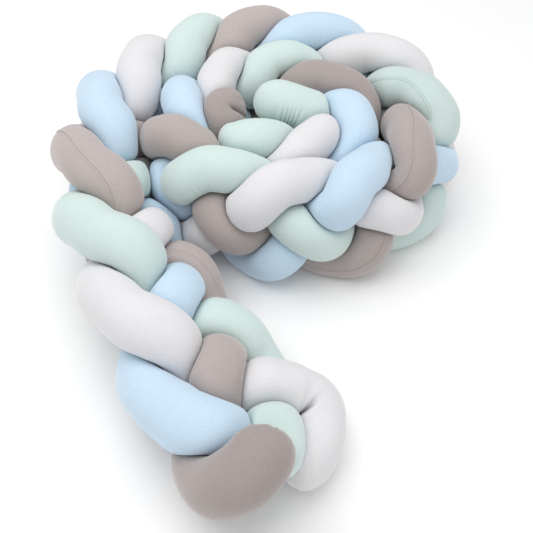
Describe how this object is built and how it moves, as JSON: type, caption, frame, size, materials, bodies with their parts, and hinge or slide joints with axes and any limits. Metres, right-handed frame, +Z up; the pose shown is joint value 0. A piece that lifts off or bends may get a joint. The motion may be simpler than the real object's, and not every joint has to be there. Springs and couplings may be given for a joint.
{
  "type": "plaited crib bumper",
  "caption": "Soft cot bumper of stuffed velvet tubes woven into a thick flat braid, stood on its long edge in a loose coil with one end lying free.",
  "frame": {"origin": "middle of the part's box, on the surface that the bumper stands on", "axes": "+Z up; +Y from the free end towards the back of the coil; +X to the right as seen from the free end"},
  "size_m": [0.6872, 0.9752, 0.2256],
  "materials": {
    "grey_velvet": "short-pile velvet, warm taupe grey, matte with a soft sheen at the edges",
    "blue_velvet": "short-pile velvet, pale sky blue, matte with a soft sheen at the edges",
    "white_velvet": "short-pile velvet, off-white, matte with a soft sheen at the edges",
    "mint_velvet": "short-pile velvet, pale mint green, matte with a soft sheen at the edges"
  },
  "bodies": {
    "root": {"strand_grey": "grey_velvet", "strand_blue": "blue_velvet", "strand_white": "white_velvet", "strand_mint": "mint_velvet"}
  },
  "joints": []
}
